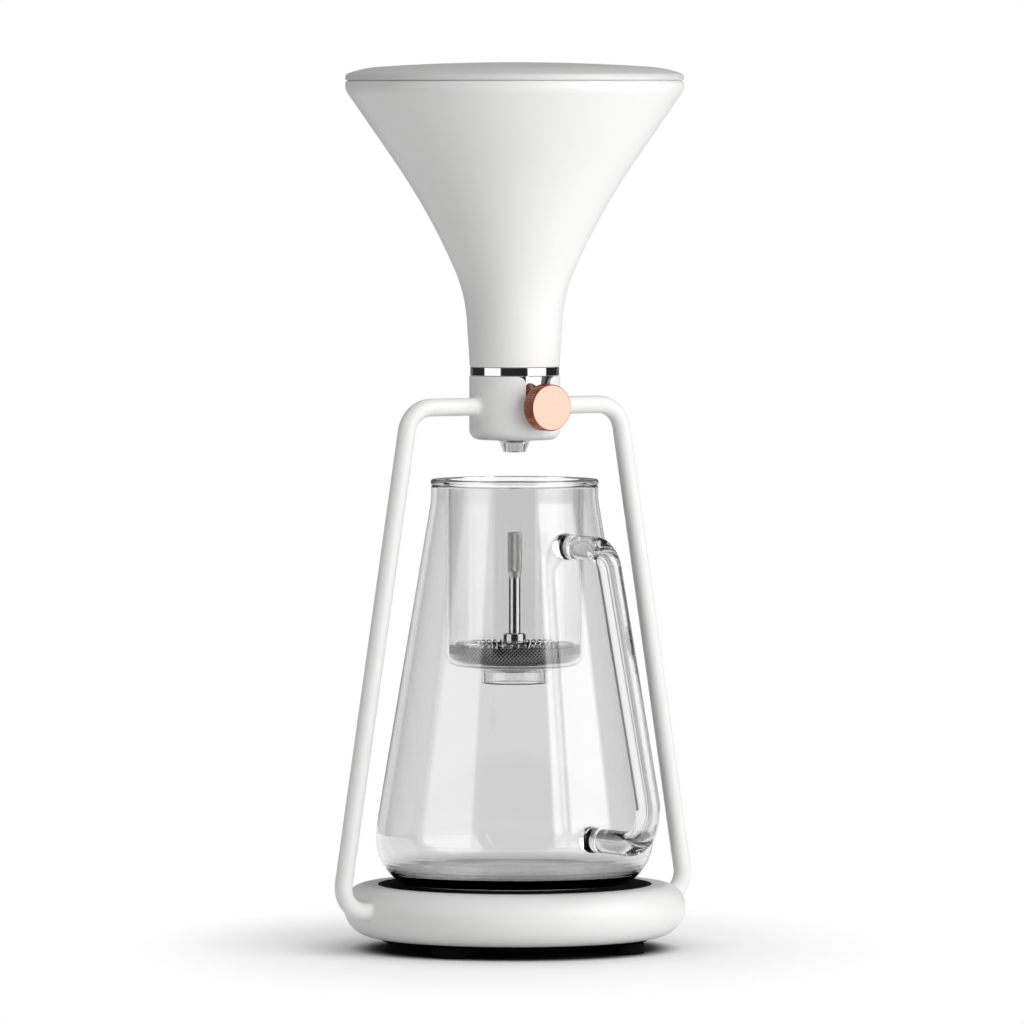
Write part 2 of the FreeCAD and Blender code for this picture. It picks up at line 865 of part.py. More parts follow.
def lid():
    """Shallow dome with a rounded edge and a skirt that centres it."""
    seat_z = funnel_rim_z()
    top_z = seat_z + lid_rise
    edge_r = funnel_rim_r - lid_edge_bend
    crown_lean = math.degrees(math.asin(lid_crown_r / lid_crown_bend))
    crown_drop = lid_crown_bend * (1 - math.cos(rad(crown_lean)))
    brow_r = edge_r + lid_edge_bend * math.sin(rad(lid_shoulder_lean))
    spread = math.sin(rad(lid_shoulder_lean)) - math.sin(rad(crown_lean))
    brow_bend = (brow_r - lid_crown_r) / spread
    brow_drop = brow_bend * (math.cos(rad(crown_lean)) - math.cos(rad(lid_shoulder_lean)))
    brow_z = top_z - crown_drop - brow_drop
    edge_z = brow_z - lid_edge_bend * math.cos(rad(lid_shoulder_lean))
    skirt_out = funnel_rim_r - funnel_wall - lid_skirt_gap
    skirt_bend_z = funnel_cone_top_z()
    skirt_foot_z = seat_z - lid_skirt
    skirt_foot_r = skirt_out - (skirt_bend_z - skirt_foot_z) * math.tan(rad(cone_lean))
    skirt_in = skirt_foot_r - lid_skirt_wall
    under_z = top_z - lid_wall
    outline = Outline(0, top_z)
    outline.line(0, under_z)
    outline.arc(0, under_z - lid_crown_bend, -crown_lean)
    outline.line(skirt_in, brow_z - lid_wall)
    outline.line(skirt_in, skirt_foot_z)
    outline.line(skirt_foot_r, skirt_foot_z)
    outline.line(skirt_out, skirt_bend_z)
    outline.line(skirt_out, seat_z)
    outline.line(funnel_rim_r - lid_lip_edge, seat_z)
    outline.arc(funnel_rim_r - lid_lip_edge, seat_z + lid_lip_edge, 90)
    outline.line(funnel_rim_r, edge_z)
    outline.arc(edge_r, edge_z, 90 - lid_shoulder_lean)
    centre_r = brow_r - brow_bend * math.sin(rad(lid_shoulder_lean))
    centre_z = brow_z - brow_bend * math.cos(rad(lid_shoulder_lean))
    outline.arc(centre_r, centre_z, lid_shoulder_lean - crown_lean)
    outline.arc(0, top_z - lid_crown_bend, crown_lean)
    return outline.revolve()


# Valve

def front_rod(radius, y_back, y_front):
    """A bar along the knob's axis, with both ends given as depths towards the front."""
    return rod(radius, V(0, -y_back, arm_top_z), V(0, -y_front, arm_top_z))


def valve_body():
    spigot_top = floor_top_z + nut_height + spigot_over_nut
    outline = Outline(0, body_z)
    outline.line(body_r, body_z)
    outline.line(body_r, collar_z)
    outline.line(collar_r - collar_edge, collar_z)
    outline.line(collar_r, collar_z + collar_edge)
    outline.line(collar_r, funnel_z - collar_edge)
    outline.line(collar_r - collar_edge, funnel_z)
    outline.line(spigot_r, funnel_z)
    outline.line(spigot_r, spigot_top)
    outline.line(0, spigot_top)
    body = outline.revolve()
    plug_bore = front_rod(plug_r + plug_clear, -plug_back, plug_front + plug_end_gap)
    gland_seat = front_rod(gland_r, plug_front + plug_end_gap, body_r)
    return body.cut([
        disc(bore_r, body_z, spigot_top),
        disc(nozzle_thread_r, body_z, body_z + nozzle_thread_length),
        plug_bore,
        gland_seat,
    ]).removeSplitter()


def plug_groove_places():
    return (-ring_groove_at, ring_groove_at)


def valve_plug():
    """Plug with a cross port, two ring grooves and the stem that the knob is on.
    The port lies across the flow, so the valve is shut at rest."""
    back = -(plug_back - plug_end_gap)
    plug = front_rod(plug_r, back, plug_front)
    for place in plug_groove_places():
        half = ring_groove_width / 2
        ring = front_rod(plug_r, place - half, place + half)
        core = front_rod(plug_r - ring_groove_depth, place - half, place + half)
        plug = plug.cut(ring.cut(core))
    plug = plug.fuse(front_rod(stem_r, plug_front, knob_back_y + knob_socket_depth))
    port = rod(bore_r, V(-plug_r, 0, arm_top_z), V(plug_r, 0, arm_top_z))
    return plug.cut(port).removeSplitter()


def plug_o_rings():
    rings = []
    ring_r = plug_r - ring_groove_depth + ring_wire_r
    for place in plug_groove_places():
        rings.append(Part.makeTorus(ring_r, ring_wire_r, V(0, -place, arm_top_z), FRONT))
    return Part.makeCompound(rings)


def gland_nut():
    start = plug_front + plug_end_gap
    nut = front_rod(gland_r, start, start + gland_length)
    nut = nut.cut(front_rod(stem_r + stem_clear, start, start + gland_length))
    end = start + gland_length
    for side in (-1, 1):
        x = side * gland_key_at
        nut = nut.cut(rod(gland_key_r, V(x, -end, arm_top_z),
                          V(x, -end + gland_key_depth, arm_top_z)))
    return nut


def nozzle():
    """Flared spout with a counterbored mouth, screwed up into the body."""
    tip_z = cup_base_z - nozzle_drop
    skirt_z = cup_base_z - nozzle_skirt_drop
    outline = Outline(bore_r, tip_z + nozzle_bore_depth)
    outline.line(nozzle_bore_r, tip_z + nozzle_bore_depth)
    outline.line(nozzle_bore_r, tip_z)
    outline.line(nozzle_tip_r - nozzle_tip_edge, tip_z)
    outline.arc(nozzle_tip_r - nozzle_tip_edge, tip_z + nozzle_tip_edge, 90)
    outline.line(nozzle_skirt_r, skirt_z)
    outline.line(nozzle_neck_r, cup_base_z)
    outline.line(nozzle_neck_r, body_z)
    outline.line(nozzle_thread_r, body_z)
    outline.line(nozzle_thread_r, body_z + nozzle_thread_length)
    outline.line(bore_r, body_z + nozzle_thread_length)
    return outline.revolve()


# Knob

def knob():
    """Disc with straight teeth round its rim, a blind socket for the stem and a
    tapped hole for the grub screw below."""
    steps = knob_teeth * 2
    points = []
    for step in range(steps + 1):
        radius = knob_r - (knurl_depth if step % 2 else 0)
        angle = rad(360.0 * step / steps)
        points.append(V(radius * math.sin(angle), -knob_back_y,
                        arm_top_z + radius * math.cos(angle)))
    toothed = Part.Face(Part.makePolygon(points)).extrude(FRONT * knob_thick)
    inner_r = knob_r - knurl_depth - knob_edge
    bevel = knob_edge + knurl_depth
    outline = Outline(0, 0)
    outline.line(inner_r, 0)
    outline.line(inner_r + bevel, bevel)
    outline.line(inner_r + bevel, knob_thick - bevel)
    outline.line(inner_r, knob_thick)
    outline.line(0, knob_thick)
    turned = outline.revolve()
    turned.rotate(ORIGIN, SIDE, 90)
    turned.translate(V(0, -knob_back_y, arm_top_z))
    disc_body = toothed.common(turned)
    socket = front_rod(stem_r, knob_back_y, knob_back_y + knob_socket_depth)
    return disc_body.cut([socket, grub_hole()]).removeSplitter()


def grub_y():
    return -(knob_back_y + knob_socket_depth / 2)


def grub_hole():
    return rod(grub_r, V(0, grub_y(), arm_top_z - stem_r), V(0, grub_y(), arm_top_z - knob_r))


def knob_set_screw():
    top = V(0, grub_y(), arm_top_z - stem_r)
    foot = top - UP * grub_length
    key = rod(grub_key_r, foot, foot + UP * grub_key_depth)
    screw = rod(grub_r, top, foot).cut(key)
    return screw.cut(front_rod(stem_r, knob_back_y, knob_back_y + knob_socket_depth))


# Carafe

def carafe_outside():
    """The flask's outer form, filled to the axis."""
    mid_z = carafe_z + carafe_max_rise
    low_r = carafe_max_r - carafe_lower_bend
    inner_arm = carafe_lower_bend - carafe_heel_bend
    heel = math.degrees(math.asin((carafe_max_rise - carafe_heel_bend) / inner_arm))
    heel_r = low_r + inner_arm * math.cos(rad(heel))
    upper_r = carafe_max_r - carafe_upper_bend
    outline = Outline(0, carafe_z + carafe_punt)
    outline.line(heel_r - carafe_heel_bend, carafe_z + carafe_punt)
    outline.line(heel_r, carafe_z)
    outline.arc(heel_r, carafe_z + carafe_heel_bend, 90 - heel)
    outline.arc(low_r, mid_z, heel)
    outline.arc(upper_r, mid_z, carafe_lean)
    shoulder_r, shoulder_z = outline.at
    bend_run = carafe_neck_bend * (1 - math.cos(rad(carafe_lean)))
    bend_rise = carafe_neck_bend * math.sin(rad(carafe_lean))
    cone_r = carafe_neck_r + bend_run
    cone_z = shoulder_z + (shoulder_r - cone_r) / math.tan(rad(carafe_lean))
    outline.line(cone_r, cone_z)
    outline.arc(carafe_neck_r + carafe_neck_bend, cone_z + bend_rise, -carafe_lean)
    half = carafe_wall / 2
    outline.line(carafe_neck_r, carafe_rim_z - half)
    outline.line(0, carafe_rim_z - half)
    return outline.revolve()


def carafe_inside():
    """The flask's hollow, one wall inside its outer form."""
    mid_z = carafe_z + carafe_max_rise
    wall = carafe_wall
    bend = carafe_lower_bend - wall
    low_r = carafe_max_r - carafe_lower_bend
    floor_z = carafe_z + carafe_floor
    drop = math.degrees(math.asin((mid_z - floor_z) / bend))
    outline = Outline(0, floor_z)
    outline.line(low_r + bend * math.cos(rad(drop)), floor_z)
    outline.arc(low_r, mid_z, drop)
    outline.arc(carafe_max_r - carafe_upper_bend, mid_z, carafe_lean)
    shoulder_r, shoulder_z = outline.at
    neck_bend = carafe_neck_bend + wall
    neck_r = carafe_neck_r - wall
    cone_r = neck_r + neck_bend * (1 - math.cos(rad(carafe_lean)))
    cone_z = shoulder_z + (shoulder_r - cone_r) / math.tan(rad(carafe_lean))
    outline.line(cone_r, cone_z)
    bend_rise = neck_bend * math.sin(rad(carafe_lean))
    outline.arc(neck_r + neck_bend, cone_z + bend_rise, -carafe_lean)
    outline.line(neck_r, carafe_rim_z)
    outline.line(0, carafe_rim_z)
    return outline.revolve()


def carafe():
    """Flask with a flame-rounded lip."""
    half = carafe_wall / 2
    lip = Part.makeTorus(carafe_neck_r - half, half, V(0, 0, carafe_rim_z - half), UP)
    return carafe_outside().cut(carafe_inside()).fuse(lip).removeSplitter()


def carafe_handle():
    """Bent glass rod, fused to the wall at both ends with a swelling."""
    top_z = carafe_z + handle_top_rise
    foot_z = carafe_z + handle_foot_rise
    inside = carafe_neck_r / 2
    corners = [V(0, -inside, top_z), V(0, -handle_top_reach, top_z),
               V(0, -handle_foot_reach, foot_z), V(0, -inside, foot_z)]
    flask = carafe_outside()
    bar = swept_bar(rounded_path(corners, (handle_top_bend, handle_foot_bend)), handle_r)
    swellings = []
    for z in (top_z, foot_z):
        middle = V(0, -carafe_wall_r(z) - handle_weld_out, z)
        swelling = Part.makeTorus(handle_r, handle_weld, middle, FRONT)
        swellings.append(swelling.cut(flask))
    return bar.cut(flask).fuse(swellings).removeSplitter()


def carafe_wall_r(z):
    """Outer radius of the flask at a height, read from its own form."""
    probe = Part.makeLine(V(0, 0, z), V(0, -2 * carafe_max_r, z))
    return probe.common(carafe_outside()).Length


# Drip chamber and filter

def drip_chamber():
    out_r = chamber_r
    in_r = chamber_in_r
    corner = mesh_corner + mesh_thick
    outlet_in = chamber_outlet_r - chamber_wall
    inner_flat_r = in_r - corner - chamber_floor_run
    outer_flat_r = inner_flat_r + chamber_wall
    floor_z = chamber_floor_z
    under_z = floor_z - chamber_wall
    foot_z = under_z - chamber_outlet_drop
    edge = chamber_flange_edge
    lip = chamber_wall / 2
    outline = Outline(in_r, chamber_top_z)
    outline.line(in_r, floor_z + corner)
    outline.arc(in_r - corner, floor_z + corner, -90)
    outline.line(inner_flat_r, floor_z)
    outline.line(outlet_in, floor_z - chamber_floor_drop)
    outline.line(outlet_in, foot_z + lip)
    outline.arc(outlet_in + lip, foot_z + lip, 180)
    outline.line(chamber_outlet_r, under_z - chamber_floor_drop)
    outline.line(outer_flat_r, under_z)
    outline.line(out_r - corner - chamber_wall, under_z)
    outline.arc(out_r - corner - chamber_wall, floor_z + corner, 90)
    outline.line(out_r, carafe_rim_z)
    outline.line(chamber_flange_r - edge, carafe_rim_z)
    outline.arc(chamber_flange_r - edge, carafe_rim_z + edge, 90)
    outline.line(chamber_flange_r, chamber_top_z - edge)
    outline.arc(chamber_flange_r - edge, chamber_top_z - edge, 90)
    return outline.revolve()


def filter_rod():
    """Polished rod with a swelled grip above and a thin stud through the stack."""
    foot_z = support_z - filter_nut_height - stud_over_nut
    top_z = hub_top_z + filter_rod_top
    grip_z = top_z - grip_length
    outline = Outline(0, foot_z)
    outline.line(filter_stud_r, foot_z)
    outline.line(filter_stud_r, hub_top_z)
    outline.line(filter_rod_r, hub_top_z)
    outline.line(filter_rod_r, grip_z - grip_neck)
    outline.line(grip_r, grip_z)
    outline.line(grip_r, top_z - grip_edge)
    outline.line(grip_r - grip_edge, top_z)
    outline.line(0, top_z)
    return outline.revolve()


def filter_hub():
    outline = Outline(filter_stud_r, hub_z)
    outline.line(hub_r, hub_z)
    outline.line(hub_r, hub_top_z - hub_edge)
    outline.line(hub_r - hub_edge, hub_top_z)
    outline.line(filter_stud_r, hub_top_z)
    return outline.revolve()


def coil_way(turn_share):
    """Point and direction of the rim spring's wire, with turn_share from 0 to 1."""
    round_ring = rad(360.0 - coil_end_gap)
    round_loop = rad(360.0) * coil_turns
    ring = round_ring * turn_share
    loop = round_loop * turn_share
    loop_r = coil_r - coil_wire_r
    reach = coil_ring_r + loop_r * math.cos(loop)
    point = V(reach * math.cos(ring), reach * math.sin(ring), coil_mid_z + loop_r * math.sin(loop))
    reach_rate = -loop_r * math.sin(loop) * round_loop
    direction = V(
        reach_rate * math.cos(ring) - reach * math.sin(ring) * round_ring,
        reach_rate * math.sin(ring) + reach * math.cos(ring) * round_ring,
        loop_r * math.cos(loop) * round_loop,
    )
    return point, direction.normalize()


def arc_from(start, direction, end):
    """The arc that leaves a point in a direction and ends at another point."""
    chord = end - start
    half = chord.Length / 2
    angle = direction.getAngle(chord)
    side = direction - chord * (direction.dot(chord) / chord.dot(chord))
    middle = start + chord * 0.5 + side.normalize() * (half * math.tan(angle / 2))
    return Part.Arc(start, middle, end)


def biarc(start, start_way, end, end_way):
    """Two arcs that leave start and reach end in the given directions."""
    chord = end - start
    ways = start_way + end_way
    spread = 2 * (1 - start_way.dot(end_way))
    slope = chord.dot(ways)
    reach = (math.sqrt(slope * slope + spread * chord.dot(chord)) - slope) / spread
    joint = (start + start_way * reach + end - end_way * reach) * 0.5
    first = arc_from(start, start_way, joint)
    last = arc_from(end, end_way * -1, joint)
    return [first.toShape(), last.toShape()]


def rim_spring():
    """One unbroken wire, coiled round the rim of the spring plate."""
    steps = coil_turns * 2
    ways = [coil_way(step / steps) for step in range(steps + 1)]
    edges = []
    for (start, start_way), (end, end_way) in zip(ways, ways[1:]):
        edges += biarc(start, start_way, end, end_way)
    path = Part.Wire(Part.__sortEdges__(edges))
    circle = Part.Wire(Part.makeCircle(coil_wire_r, ways[0][0], ways[0][1]))
    spring = path.makePipeShell([circle], True, False)
    print("rim spring: least gap to itself %.2f mm, wire %.0f mm" % (coil_gap(), path.Length))
    return spring


def coil_gap():
    """Least gap between two turns, measured on points of the wire's middle line."""
    steps_per_turn = 48
    steps = coil_turns * steps_per_turn
    points = [coil_way(step / steps)[0] for step in range(steps + 1)]
    least = min(
        (points[a] - points[b]).Length
        for a in range(0, len(points))
        for b in range(a + steps_per_turn // 2, min(a + 2 * steps_per_turn, len(points)))
    )
    ends = (points[0] - points[-1]).Length
    return min(least, ends) - 2 * coil_wire_r


def spring_plate():
    """Dished disc whose rim has a hole for each turn of the rim spring."""
    half = spring_plate_thick / 2
    low = mesh_floor_z
    thick = spring_plate_thick
    rim_low = coil_mid_z - half
    rim_r = coil_ring_r - coil_r + coil_wire_r + spring_plate_rim
    outline = Outline(filter_stud_r, low)
    outline.line(spring_plate_centre_r, low)
    outline.line(spring_plate_cone_r, rim_low)
    outline.line(rim_r, rim_low)
    outline.line(rim_r, rim_low + thick)
    outline.line(spring_plate_cone_r - thick, rim_low + thick)
    outline.line(spring_plate_centre_r - thick, low + thick)
    outline.line(filter_stud_r, low + thick)
    plate = outline.revolve()
    holes = []
    for turn in range(coil_turns):
        place = coil_way((turn + 0.5) / coil_turns)[0]
        holes.append(disc(coil_hole_r, rim_low, rim_low + thick, place))
    for drain in range(spring_plate_drains):
        place = around(spring_plate_drain_at, 360.0 / spring_plate_drains * drain)
        holes.append(disc(spring_plate_drain_r, low, coil_mid_z + half, place))
    return plate.cut(holes).removeSplitter()


def filter_mesh():
    """Woven dish that holds the rim spring, open at the top."""
    corner_in = mesh_corner
    corner_out = mesh_corner + mesh_thick
    corner_r = mesh_in_r - corner_in
    corner_z = mesh_floor_z + corner_in
    top_z = chamber_floor_z + mesh_height
    outline = Outline(filter_stud_r, chamber_floor_z)
    outline.line(filter_r - corner_out, chamber_floor_z)
    outline.arc(corner_r, corner_z, 90)
    outline.line(filter_r, top_z)
    outline.line(mesh_in_r, top_z)
    outline.line(mesh_in_r, corner_z)
    outline.arc(corner_r, corner_z, -90)
    outline.line(filter_stud_r, mesh_floor_z)
    return outline.revolve()


def support_plate():
    plate = tube(support_r, filter_stud_r, support_z, chamber_floor_z)
    holes = []
    for number in range(support_holes):
        place = around(support_hole_at, 360.0 / support_holes * number)
        holes.append(disc(support_hole_r, support_z, chamber_floor_z, place))
    return plate.cut(holes)


def filter_nut():
    nut = hexagon(filter_nut_flats, support_z - filter_nut_height, support_z)
    return nut.cut(disc(filter_stud_r, support_z - filter_nut_height, support_z))


PARTS = {
    "base_shell": base_shell,
    "weighing_plate": weighing_plate,
    "plate_mat": plate_mat,
    "load_cell": load_cell,
    "load_cell_screws": load_cell_screws,
    "circuit_board": circuit_board,
    "battery_cells": battery_cells,
    "battery_contacts": battery_contacts,
    "battery_door": battery_door,
    "door_screw": door_screw,
    "bottom_cover": bottom_cover,
    "cover_screws": cover_screws,
    "feet": feet,
    "left_arm": lambda: arm(-1),
    "right_arm": lambda: arm(1),
    "arm_bolts": arm_bolts,
    "valve_cup": valve_cup,
    "carafe": carafe,
    "carafe_handle": carafe_handle,
    "drip_chamber": drip_chamber,
    "filter_rod": filter_rod,
    "filter_hub": filter_hub,
    "spring_plate": spring_plate,
    "rim_spring": rim_spring,
    "filter_mesh": filter_mesh,
    "support_plate": support_plate,
    "filter_nut": filter_nut,
    "funnel": funnel,
    "funnel_gasket": funnel_gasket,
    "funnel_nut": funnel_nut,
    "valve_body": valve_body,
    "gland_nut": gland_nut,
    "nozzle": nozzle,
    "knob": knob,
    "valve_plug": valve_plug,
    "plug_o_rings": plug_o_rings,
    "knob_set_screw": knob_set_screw,
    "lid": lid,
}


def main():
    os.makedirs("parts", exist_ok=True)
    for name, make in PARTS.items():
        shape = make()
        box = shape.BoundBox
        print("%-18s solids %d  valid %s  z %.2f to %.2f  volume %.0f" % (
            name, len(shape.Solids), shape.isValid(), box.ZMin, box.ZMax, shape.Volume))
        shape.exportStep("parts/%s.step" % name)


main()
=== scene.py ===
import json
import math

import bpy
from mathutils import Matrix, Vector


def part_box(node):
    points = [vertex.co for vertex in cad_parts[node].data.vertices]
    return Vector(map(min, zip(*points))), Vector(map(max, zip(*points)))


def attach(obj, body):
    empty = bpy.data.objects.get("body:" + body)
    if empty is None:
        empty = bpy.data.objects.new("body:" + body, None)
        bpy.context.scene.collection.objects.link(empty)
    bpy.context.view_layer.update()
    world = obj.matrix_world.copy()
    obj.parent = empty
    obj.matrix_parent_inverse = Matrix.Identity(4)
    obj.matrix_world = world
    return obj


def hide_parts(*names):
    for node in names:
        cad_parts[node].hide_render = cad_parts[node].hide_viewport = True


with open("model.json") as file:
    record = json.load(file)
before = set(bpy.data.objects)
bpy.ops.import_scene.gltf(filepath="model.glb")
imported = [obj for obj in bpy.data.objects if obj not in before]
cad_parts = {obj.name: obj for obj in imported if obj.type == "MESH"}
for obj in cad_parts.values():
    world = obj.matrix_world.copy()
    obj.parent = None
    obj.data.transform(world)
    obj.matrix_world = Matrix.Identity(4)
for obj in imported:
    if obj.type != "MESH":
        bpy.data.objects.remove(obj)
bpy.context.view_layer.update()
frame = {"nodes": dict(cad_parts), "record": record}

nodes = frame["nodes"]

AXIS = Vector((0, 0, 1))

# Camera: where the photograph was taken from, in metres and degrees
CAMERA_AZIMUTH = -32.5
CAMERA_DISTANCE = 5.165
CAMERA_HEIGHT = 0.435
CAMERA_END = 100
AIM_HEIGHT = 0.2189
AIM_LEFT = 0.00135
FOCAL_PIXELS = 10330
IMAGE_PIXELS = 1024
SENSOR = 36

# Lamps: name, degrees from the camera towards the picture's right, elevation, distance, size, power
LAMPS = (("key", 50, 15, 1.6, (1.2, 1.6), 20.5),
         ("rim", -120, 20, 1.8, (0.8, 1.6), 1.5))
LAMP_AIM = 0.2

# Soft boxes that gloss and glass see: the two ends as degrees from the camera towards the picture's
# right, the strength at the foot and the strength at the top. The heights are the upward share of
# a ray's direction, where the strength rises and where the boxes end.
SOFT_BOXES = ((-85, -37, 1.5, 2.4), (34, 89, 1.7, 4.3))
BOX_EDGE = 2.0
BOX_RISE = (0.05, 0.22)
BOX_LOW, BOX_HIGH = -0.5, 0.8
BOX_END = 0.05

# The rest of the studio: where it starts behind the object, its level there for gloss, the dark
# between, and the grey flags that are seen straight through glass
BEHIND = 141.0
GLOSS_BEHIND = 0.15
STUDIO_DARK = 0.03
FLAG_START, FLAG_STOP = (85, 93), (137, 145)
FLAG_LEVEL = 0.22

# Light from the world on plain surfaces, from the side and from above
WORLD_LOW, WORLD_HIGH = 0.32, 0.64

# Floor: its side, and the distances from the axis where its zones start and stop. The stretches
# make a zone longer along the camera's line than across it.
FLOOR_SIZE = 2.6
FLOOR_TINT = (0.9, 0.9, 0.9)
FLOOR_NEAR, FLOOR_FAR = 0.085, 0.20
FLOOR_STRETCH = 0.65
GLOW = 0.21
GLOW_START, GLOW_STOP = 0.075, 0.12
GLOW_STRETCH = 0.9
# Painted shadow under the base: the floor's near black tint there, and the distances where it gives way to
# the floor's own tint
SHADE_TINT = (0.03, 0.03, 0.03)
SHADE_IN, SHADE_OUT = 0.066, 0.086
FRONT_START, FRONT_STOP = 0.2, 0.9
WHITE = (1.0, 1.0, 1.0)

# Flask, in metres
SEAM = 1e-6
SEAM_DIGITS = 6
SOFT_EDGE = 0.0004
FLASK_TURNS = 256
FLASK_SHARP = 40
GLASS_WALL = 0.0024
PUNT_RISE = 0.0025
PUNT_R = 0.054
PUNT_RINGS = 24
PUNT_LEAST = 0.02
NEAR_AXIS = 0.001
SKIN = 0.0001
# Painted shade: below these heights the flask's glass takes a darker tint
FOOT_SHADE_HEIGHTS = (0.037, 0.046)
FOOT_SHADE_TINT = (0.45, 0.45, 0.45)

# Handle, in metres: the corners are (reach from the axis, height) on its middle line
HANDLE_R = 0.006
HANDLE_CORNERS = ((0.0841, 0.2034), (0.12786, 0.059))
HANDLE_BENDS = (0.014, 0.017)
HANDLE_SIDES = 56
HANDLE_STEP = 0.0006
WELD_OUT = 0.0024
WELD_SWELL = 0.0006
WELD_HALF = 0.0028
WELD_REACH = 0.010

# Knurl of the filter rod's grip, in metres
GRIP_R = 0.00336
GRIP_LENGTH = 0.0196
GRIP_DROP = 0.0004
GRIP_DIAMONDS = 22
GRIP_DEPTH = 0.00028
GRIP_COLUMNS = 6
GRIP_ROWS = 168
GRIP_RUNOUT = 4

# Weave on the filter's dish, in metres
WEAVE_R = 0.03262
WEAVE_BEND = 0.005
WEAVE_HEIGHT = 0.0085
WEAVE_MARGIN = 0.0002
WEAVE_WIRES = 110
WEAVE_WIRE_R = 0.00018
WEAVE_WIDEN = 1.4
WEAVE_LIFT = 0.00016
WEAVE_STEPS = 34

# Knob and copper
KNOB_HEIGHT = 0.272
KNOB_R = 0.0115
KNOB_RIM_IN, KNOB_RIM_OUT = 0.0007, 0.0003
KNOB_RINGS = 4200.0
COPPER_DARK, COPPER_LIGHT = (0.66, 0.38, 0.30), (0.75, 0.45, 0.365)
# Painted shade: the knurled rim is painted a darker copper
COPPER_RIM_PAINTED_SHADE = (0.42, 0.17, 0.11)

# Surfaces: where most values of a noise lie, how the draw lines of glass run, and the deepest black
NOISE_LOW, NOISE_HIGH = 0.3, 0.7
DRAWN_ACROSS, DRAWN_UP = 22.0, 2.5
BLACK = (0.004, 0.004, 0.004)


def toward(azimuth, elevation=0.0):
    """Direction from the object at an azimuth (0 is the front, -Y) and an elevation, in degrees."""
    a = math.radians(azimuth)
    e = math.radians(elevation)
    return Vector((math.sin(a) * math.cos(e), -math.cos(a) * math.cos(e), math.sin(e)))


# Shader helpers

class Shader:
    """A small builder for node trees: calls make a node, link what is given and return its output."""

    def __init__(self, tree):
        self.tree = tree
        tree.nodes.clear()

    def node(self, kind, inputs=None, **settings):
        made = self.tree.nodes.new(kind)
        for name, value in settings.items():
            setattr(made, name, value)
        for name, value in (inputs or {}).items():
            self.put(made.inputs[name], value)
        return made

    def put(self, socket, value):
        if isinstance(value, bpy.types.NodeSocket):
            self.tree.links.new(value, socket)
        elif isinstance(value, tuple) and len(value) == 3 and socket.type == "RGBA":
            socket.default_value = (*value, 1)
        else:
            socket.default_value = value

    def math(self, operation, a, b=0.0, c=0.0):
        return self.node("ShaderNodeMath", {0: a, 1: b, 2: c}, operation=operation).outputs[0]

    def times(self, a, b):
        return self.math("MULTIPLY", a, b)

    def length(self, a, b):
        return self.math("SQRT", self.math("ADD", self.times(a, a), self.times(b, b)))

    def ramp(self, value, low, high, out_low=0.0, out_high=1.0, smooth=True):
        made = self.node("ShaderNodeMapRange", {"Value": value, "From Min": low, "From Max": high,
                                                "To Min": out_low, "To Max": out_high})
        made.interpolation_type = "SMOOTHSTEP" if smooth else "LINEAR"
        return made.outputs[0]

    def between(self, share, none, full):
        """A number between two, by a share from 0 to 1."""
        return self.ramp(share, 0.0, 1.0, none, full, smooth=False)

    def mix(self, factor, a, b):
        made = self.node("ShaderNodeMix", data_type="RGBA")
        self.put(made.inputs[0], factor)
        self.put(made.inputs[6], a)
        self.put(made.inputs[7], b)
        return made.outputs[2]

    def noise(self, scale, detail, where=None):
        made = self.node("ShaderNodeTexNoise", {"Scale": scale, "Detail": detail})
        self.put(made.inputs["Vector"], where or self.place())
        return made.outputs["Fac"]

    def vary(self, noise, low, high):
        """A value that follows a noise."""
        return self.ramp(noise, NOISE_LOW, NOISE_HIGH, low, high)

    def place(self):
        """Position on the object at rest."""
        return self.node("ShaderNodeTexCoord").outputs["Object"]

    def split(self, vector):
        return self.node("ShaderNodeSeparateXYZ", {0: vector}).outputs

    def join(self, x, y=0.0, z=0.0):
        return self.node("ShaderNodeCombineXYZ", {0: x, 1: y, 2: z}).outputs[0]

    def camera_axes(self, place):
        """How far a place lies towards the camera, and how far to the picture's right."""
        facing = toward(CAMERA_AZIMUTH)
        ahead = self.math("ADD", self.times(place["X"], facing.x), self.times(place["Y"], facing.y))
        right = self.math("SUBTRACT", self.times(place["Y"], facing.x), self.times(place["X"], facing.y))
        return ahead, right

    def bump(self, relief, depth, strength):
        made = self.node("ShaderNodeBump", {"Height": relief, "Distance": depth, "Strength": strength})
        return made.outputs[0]

    def finish(self, **inputs):
        """Closes the tree with one Principled shader."""
        named = {name.replace("_", " "): value for name, value in inputs.items()}
        made = self.node("ShaderNodeBsdfPrincipled", named)
        self.node("ShaderNodeOutputMaterial", {0: made.outputs[0]})


# Materials

def new_material(name):
    material = bpy.data.materials.new(name)
    material.use_nodes = True
    return material, Shader(material.node_tree)


def shades(tint, *factors):
    """The tint made darker or lighter by each factor."""
    return [tuple(min(1.0, c * factor) for c in tint) for factor in factors]


def white_satin(name, tint, grain):
    """Smooth white moulding or paint with a faint orange peel."""
    material, s = new_material(name)
    s.finish(Base_Color=s.mix(s.noise(scale=18, detail=3), *shades(tint, 0.985, 1.015)),
             Roughness=s.vary(s.noise(scale=220, detail=3), low=0.36, high=0.44),
             Specular_IOR_Level=0.3,
             Normal=s.bump(s.noise(grain, detail=2), depth=0.00003, strength=0.35))
    return material


def dull_plastic(name, tint, rough, grain, shine=0.5):
    """Moulding, rubber or film with a fine grain."""
    material, s = new_material(name)
    s.finish(Base_Color=s.mix(s.noise(scale=60, detail=3), *shades(tint, 1.0, 1.5)),
             Roughness=s.vary(s.noise(scale=400, detail=3), low=rough - 0.05, high=rough + 0.05),
             Specular_IOR_Level=shine,
             Normal=s.bump(s.noise(grain, detail=3), depth=0.00005, strength=0.5))
    return material


